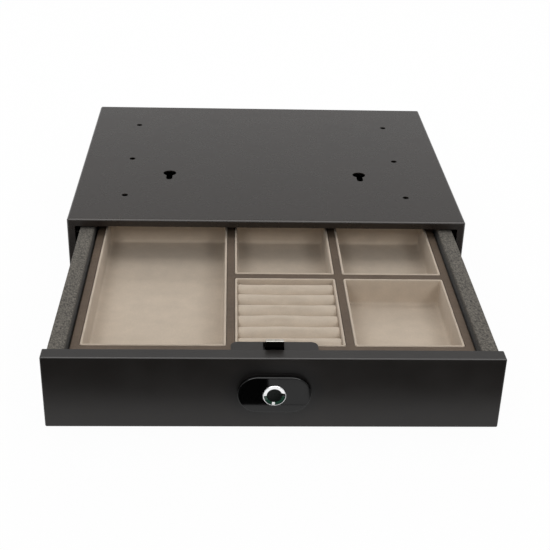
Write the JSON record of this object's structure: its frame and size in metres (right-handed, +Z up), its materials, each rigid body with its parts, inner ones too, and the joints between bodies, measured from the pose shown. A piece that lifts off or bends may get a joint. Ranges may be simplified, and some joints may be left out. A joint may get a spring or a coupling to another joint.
{
  "type": "under desk drawer safe",
  "caption": "Flat steel safe screwed under a desk: a drawer on ball bearing slides, a sprung latch worked by a fingerprint lock, and a lift-out lined tray with ring rolls.",
  "frame": {"origin": "centre of the case's underside", "axes": "+Z up, the drawer opens towards -Y, +X to the right of someone facing the drawer front"},
  "size_m": [0.406, 0.5783, 0.088],
  "materials": {
    "case_paint": "satin charcoal powder coat",
    "zinc_steel": "bright zinc",
    "polished_steel": "polished",
    "ring_chrome": "bright chrome",
    "gloss_black": "piano gloss",
    "sensor_face": "coated sensor glass",
    "lock_plastic": "fine grain",
    "grey_felt": "heathered felt",
    "leather_cloth": "fine pebble grain",
    "velour": "short pile",
    "board": "solder mask",
    "battery_wrap": "shrink wrap"
  },
  "bodies": {
    "case": {"case_shell": "case_paint", "case_floor": "case_paint", "case_back": "case_paint", "strike_plate": "zinc_steel", "slide_bracket_right": "case_paint", "slide_bracket_left": "case_paint", "slide_outer_right": "zinc_steel", "slide_outer_left": "zinc_steel", "case_slide_screw_right_1": "zinc_steel", "case_slide_screw_left_1": "zinc_steel", "case_slide_screw_right_2": "zinc_steel", "case_slide_screw_left_2": "zinc_steel"},
    "middle_right": {"slide_middle_right": "zinc_steel"},
    "middle_left": {"slide_middle_left": "zinc_steel"},
    "outer_cage_right": {"outer_ball_cage_right": "zinc_steel"},
    "outer_cage_left": {"outer_ball_cage_left": "zinc_steel"},
    "inner_cage_right": {"inner_ball_cage_right": "zinc_steel"},
    "inner_cage_left": {"inner_ball_cage_left": "zinc_steel"},
    "drawer": {"drawer_tub": "case_paint", "front_panel": "case_paint", "rail_cover_right": "grey_felt", "rail_cover_left": "grey_felt", "floor_liner": "grey_felt", "tray_ledge_right": "case_paint", "tray_ledge_left": "case_paint", "slide_inner_right": "zinc_steel", "slide_inner_left": "zinc_steel", "tub_slide_screw_right_1": "zinc_steel", "tub_slide_screw_left_1": "zinc_steel", "tub_slide_screw_right_2": "zinc_steel", "tub_slide_screw_left_2": "zinc_steel", "lock_housing": "lock_plastic", "bolt_spring": "zinc_steel", "lock_motor": "zinc_steel", "circuit_board": "board", "battery_right": "battery_wrap", "battery_left": "battery_wrap", "lock_screw_1": "zinc_steel", "lock_screw_2": "zinc_steel", "fascia": "gloss_black", "sensor_ring": "ring_chrome", "fingerprint_sensor": "sensor_face"},
    "latch": {"latch_bolt": "polished_steel"},
    "pinion": {"lock_pinion": "polished_steel"},
    "tray": {"tray_frame": "leather_cloth", "liner_large": "velour", "liner_ring": "velour", "liner_middle": "velour", "liner_corner": "velour", "liner_right": "velour", "ring_roll_1": "velour", "ring_roll_2": "velour", "ring_roll_3": "velour", "ring_roll_4": "velour", "ring_roll_5": "velour", "ring_roll_6": "velour"}
  },
  "joints": [
    {"name": "drawer_slide", "type": "slide", "parent": "case", "child": "drawer", "axis": [0, -1, 0], "range_m": [-0.2435, 0.0365]},
    {"name": "middle_slide_right", "type": "slide", "parent": "case", "child": "middle_right", "axis": [0, -1, 0], "range_m": [-0.12175, 0.01825]},
    {"name": "middle_slide_left", "type": "slide", "parent": "case", "child": "middle_left", "axis": [0, -1, 0], "range_m": [-0.12175, 0.01825]},
    {"name": "outer_cage_slide_right", "type": "slide", "parent": "case", "child": "outer_cage_right", "axis": [0, -1, 0], "range_m": [-0.06087, 0.00912]},
    {"name": "outer_cage_slide_left", "type": "slide", "parent": "case", "child": "outer_cage_left", "axis": [0, -1, 0], "range_m": [-0.06087, 0.00912]},
    {"name": "inner_cage_slide_right", "type": "slide", "parent": "case", "child": "inner_cage_right", "axis": [0, -1, 0], "range_m": [-0.18263, 0.02738]},
    {"name": "inner_cage_slide_left", "type": "slide", "parent": "case", "child": "inner_cage_left", "axis": [0, -1, 0], "range_m": [-0.18263, 0.02738]},
    {"name": "latch_slide", "type": "slide", "parent": "drawer", "child": "latch", "axis": [0, 0, -1], "range_m": [0, 0.008], "stiffness_N_per_m": 300, "springref_m": -0.004, "deforming": ["bolt_spring"]},
    {"name": "pinion_turn", "type": "hinge", "parent": "drawer", "child": "pinion", "pos_m": [0, -0.39467, 0.0579], "axis": [-1, 0, 0], "range_deg": [0, 84.9]},
    {"name": "tray_lift", "type": "slide", "parent": "drawer", "child": "tray", "axis": [0, 0, 1], "range_m": [0, 0.01]}
  ],
  "couplings": [
    {"joint": "middle_slide_right", "follows": "drawer_slide", "ratio": 0.5},
    {"joint": "middle_slide_left", "follows": "drawer_slide", "ratio": 0.5},
    {"joint": "outer_cage_slide_right", "follows": "drawer_slide", "ratio": 0.25},
    {"joint": "outer_cage_slide_left", "follows": "drawer_slide", "ratio": 0.25},
    {"joint": "inner_cage_slide_right", "follows": "drawer_slide", "ratio": 0.75},
    {"joint": "inner_cage_slide_left", "follows": "drawer_slide", "ratio": 0.75},
    {"joint": "pinion_turn", "follows": "latch_slide", "rad_per_m": 185.19}
  ]
}
